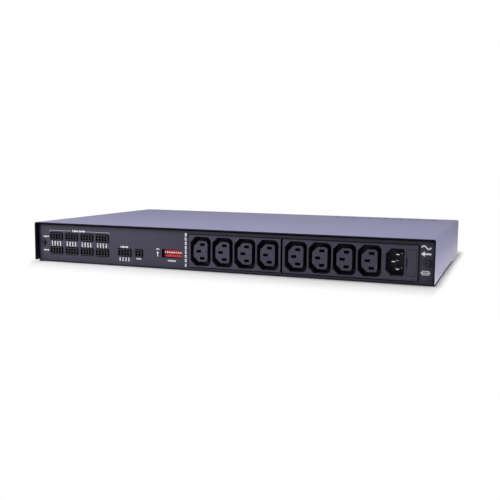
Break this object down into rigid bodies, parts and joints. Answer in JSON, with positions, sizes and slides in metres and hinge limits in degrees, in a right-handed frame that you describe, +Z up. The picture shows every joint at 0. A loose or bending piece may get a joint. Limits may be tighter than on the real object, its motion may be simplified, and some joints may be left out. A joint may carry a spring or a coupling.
{
  "type": "power distribution unit",
  "caption": "Flat rack-height sheet-metal box with a row of switched appliance outlets, a fused mains inlet, pluggable control headers and a bank of small slide switches.",
  "frame": {"origin": "centre of the box's footprint, on the surface it stands on", "axes": "+X to the right along the connector panel, +Y away from that panel into the box, +Z up"},
  "size_m": [0.4318, 0.264, 0.0437],
  "materials": {
    "cover_paint": "satin, blue-grey",
    "tray_paint": "fine matt texture, charcoal",
    "black_steel": "blackened",
    "black_moulding": "fine matt",
    "header_moulding": "fine matt",
    "contact_brass": "plain",
    "tinned_metal": "tinned",
    "bright_pin": "nickel plated",
    "steel": "zinc plated",
    "board": "solder mask",
    "switch_red": "plain",
    "knob_white": "plain",
    "fuse_glass": "clear",
    "relay_case": "plain",
    "chip_case": "plain"
  },
  "bodies": {
    "unit": {"chassis_tray": "tray_paint", "top_cover": "cover_paint", "panel_screws": "black_steel", "outlet_strip": "black_moulding", "inlet_strip": "black_moulding", "line_contacts": "contact_brass", "neutral_bar_1": "contact_brass", "neutral_bar_2": "contact_brass", "earth_bar_1": "contact_brass", "earth_bar_2": "contact_brass", "earth_stud": "steel", "earth_nut": "steel", "inlet_line_pin": "bright_pin", "inlet_neutral_pin": "bright_pin", "inlet_earth_pin": "bright_pin", "fuse_clip_in": "contact_brass", "fuse_clip_out": "contact_brass", "terminal_board": "board", "board_brackets": "steel", "header_pins": "tinned_metal", "switch_body": "switch_red", "main_board": "board", "standoffs": "steel", "board_screws": "steel", "link_strip": "chip_case", "link_pins": "tinned_metal", "logic_supply": "relay_case", "controller_chip": "chip_case", "control_header": "header_moulding", "sensor_header": "header_moulding", "bus_header_1": "header_moulding", "bus_header_2": "header_moulding", "bus_header_3": "header_moulding", "bus_header_4": "header_moulding", "bus_header_5": "header_moulding", "bus_header_6": "header_moulding", "bus_header_7": "header_moulding", "bus_header_8": "header_moulding", "relay_1": "relay_case", "relay_2": "relay_case", "relay_3": "relay_case", "relay_4": "relay_case", "relay_5": "relay_case", "relay_6": "relay_case", "relay_7": "relay_case", "relay_8": "relay_case"},
    "drawer": {"fuse_drawer": "black_moulding", "fuse_tube": "fuse_glass", "fuse_caps": "bright_pin"},
    "knob_1": {"switch_knob_1": "knob_white"},
    "knob_2": {"switch_knob_2": "knob_white"},
    "knob_3": {"switch_knob_3": "knob_white"},
    "knob_4": {"switch_knob_4": "knob_white"},
    "knob_5": {"switch_knob_5": "knob_white"},
    "knob_6": {"switch_knob_6": "knob_white"},
    "knob_7": {"switch_knob_7": "knob_white"},
    "knob_8": {"switch_knob_8": "knob_white"}
  },
  "joints": [
    {"name": "fuse_drawer_slide", "type": "slide", "parent": "unit", "child": "drawer", "axis": [0, -1, 0], "range_m": [0, 0.012]},
    {"name": "switch_1_slide", "type": "slide", "parent": "unit", "child": "knob_1", "axis": [0, 0, 1], "range_m": [-0.0018, 0]},
    {"name": "switch_2_slide", "type": "slide", "parent": "unit", "child": "knob_2", "axis": [0, 0, 1], "range_m": [-0.0018, 0]},
    {"name": "switch_3_slide", "type": "slide", "parent": "unit", "child": "knob_3", "axis": [0, 0, 1], "range_m": [-0.0018, 0]},
    {"name": "switch_4_slide", "type": "slide", "parent": "unit", "child": "knob_4", "axis": [0, 0, 1], "range_m": [-0.0018, 0]},
    {"name": "switch_5_slide", "type": "slide", "parent": "unit", "child": "knob_5", "axis": [0, 0, 1], "range_m": [-0.0018, 0]},
    {"name": "switch_6_slide", "type": "slide", "parent": "unit", "child": "knob_6", "axis": [0, 0, 1], "range_m": [-0.0018, 0]},
    {"name": "switch_7_slide", "type": "slide", "parent": "unit", "child": "knob_7", "axis": [0, 0, 1], "range_m": [-0.0018, 0]},
    {"name": "switch_8_slide", "type": "slide", "parent": "unit", "child": "knob_8", "axis": [0, 0, 1], "range_m": [-0.0018, 0]}
  ]
}
